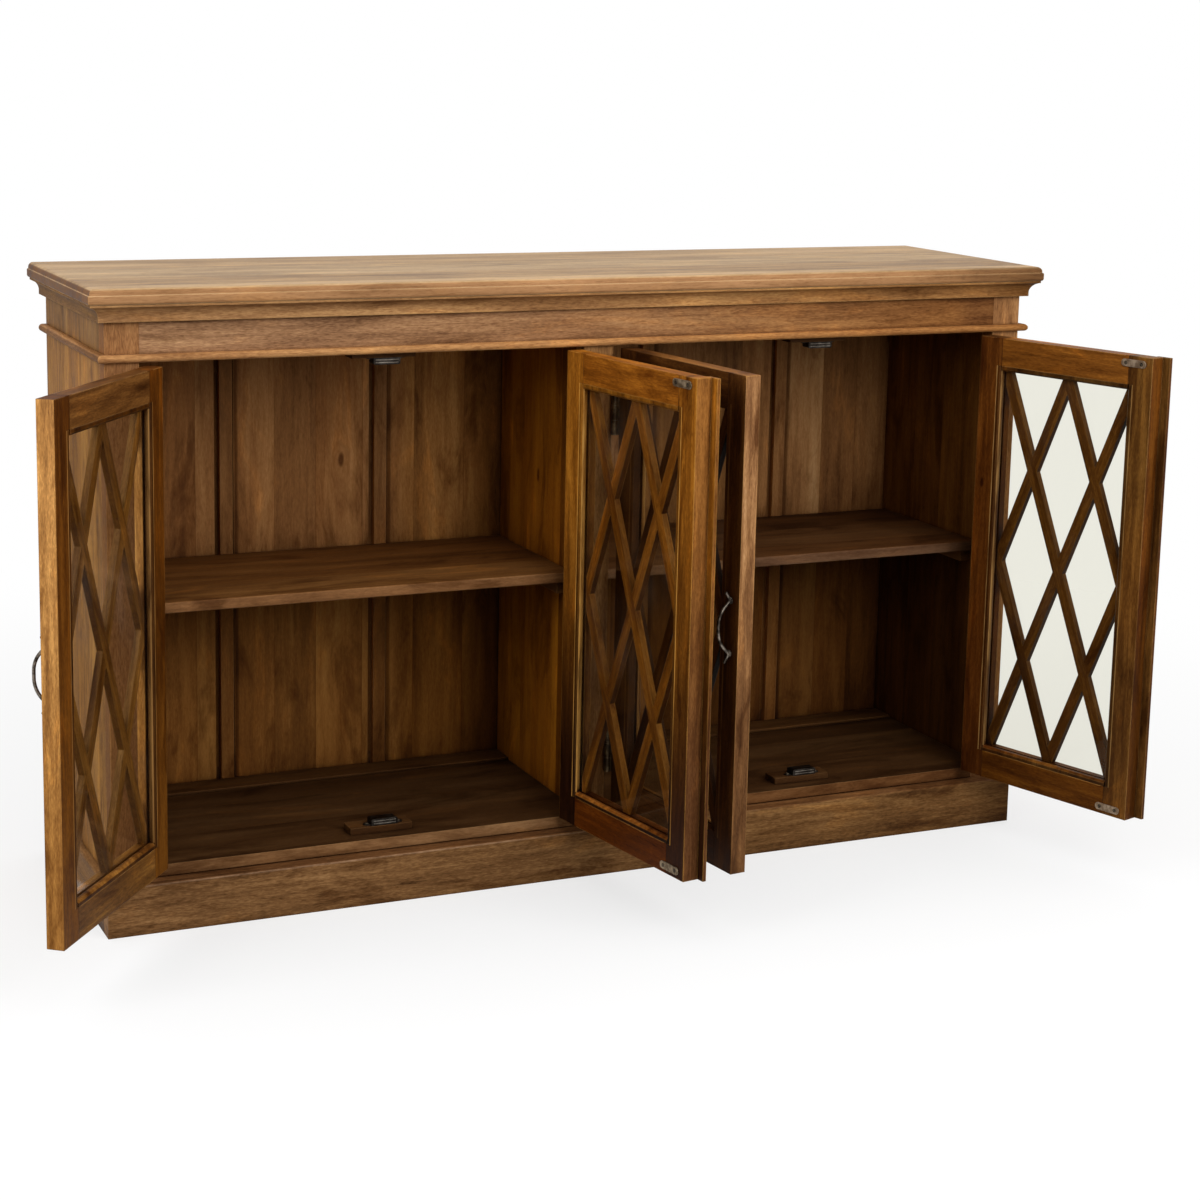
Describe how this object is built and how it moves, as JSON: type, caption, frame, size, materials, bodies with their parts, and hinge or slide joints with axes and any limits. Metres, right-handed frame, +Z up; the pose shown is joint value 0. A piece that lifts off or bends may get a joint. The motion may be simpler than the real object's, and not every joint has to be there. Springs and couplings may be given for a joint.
{
  "type": "china cabinet",
  "caption": "Low glazed china cabinet in stained wood with diagonal lattice doors on butt hinges, a moulded top, shelved bays and a skirting plinth.",
  "frame": {"origin": "on the floor under the middle of the carcass, on the underside of the centre bearer", "axes": "+X along the front to the viewer's right, -Y out of the front, +Z up"},
  "size_m": [1.6509, 0.7147, 0.9],
  "materials": {
    "outer_wood": "satin stain",
    "top_wood": "satin stain",
    "inner_wood": "matt stain",
    "glass": "clear",
    "antique_metal": "dark antique",
    "hinge_steel": "dull",
    "catch_steel": "satin"
  },
  "bodies": {
    "cabinet": {"back_muntins": "inner_wood", "back_panels": "inner_wood", "back_rails": "inner_wood", "bead_moulding": "outer_wood", "bed_moulding": "outer_wood", "bottom_panel": "inner_wood", "catches": "catch_steel", "centre_bearer": "inner_wood", "centre_stile": "outer_wood", "divider_panel": "inner_wood", "floor_battens": "inner_wood", "frieze_board": "outer_wood", "front_bearer": "inner_wood", "hinge_leaves": "hinge_steel", "hinge_pins": "hinge_steel", "left_post": "outer_wood", "left_shelf": "inner_wood", "left_side_panel": "outer_wood", "plinth_front": "outer_wood", "plinth_returns": "outer_wood", "rear_bearer": "inner_wood", "right_post": "outer_wood", "right_shelf": "inner_wood", "right_side_panel": "outer_wood", "shelf_cleats": "inner_wood", "stop_blocks": "inner_wood", "top_slab": "top_wood", "top_stretcher": "inner_wood"},
    "door_1": {"door_1_glass": "glass", "door_1_glazing_beads": "outer_wood", "door_1_handle": "antique_metal", "door_1_hinge_leaves": "hinge_steel", "door_1_lattice": "outer_wood", "door_1_rails": "outer_wood", "door_1_stiles": "outer_wood"},
    "door_2": {"door_2_glass": "glass", "door_2_glazing_beads": "outer_wood", "door_2_handle": "antique_metal", "door_2_hinge_leaves": "hinge_steel", "door_2_lattice": "outer_wood", "door_2_lip": "outer_wood", "door_2_rails": "outer_wood", "door_2_stiles": "outer_wood", "door_2_strike_plates": "catch_steel"},
    "door_3": {"door_3_glass": "glass", "door_3_glazing_beads": "outer_wood", "door_3_handle": "antique_metal", "door_3_hinge_leaves": "hinge_steel", "door_3_lattice": "outer_wood", "door_3_rails": "outer_wood", "door_3_stiles": "outer_wood"},
    "door_4": {"door_4_glass": "glass", "door_4_glazing_beads": "outer_wood", "door_4_handle": "antique_metal", "door_4_hinge_leaves": "hinge_steel", "door_4_lattice": "outer_wood", "door_4_lip": "outer_wood", "door_4_rails": "outer_wood", "door_4_stiles": "outer_wood", "door_4_strike_plates": "catch_steel"}
  },
  "joints": [
    {"name": "door_1_hinge", "type": "hinge", "parent": "cabinet", "child": "door_1", "pos_m": [-0.6755, -0.192, 0.444], "axis": [0, 0, -1], "range_deg": [-128, 42]},
    {"name": "door_2_hinge", "type": "hinge", "parent": "cabinet", "child": "door_2", "pos_m": [-0.0245, -0.192, 0.444], "axis": [0, 0, 1], "range_deg": [-98.6, 0.5]},
    {"name": "door_3_hinge", "type": "hinge", "parent": "cabinet", "child": "door_3", "pos_m": [0.0245, -0.192, 0.444], "axis": [0, 0, -1], "range_deg": [-83.3, 0.5]},
    {"name": "door_4_hinge", "type": "hinge", "parent": "cabinet", "child": "door_4", "pos_m": [0.6755, -0.192, 0.444], "axis": [0, 0, 1], "range_deg": [-106.7, 63.3]}
  ]
}
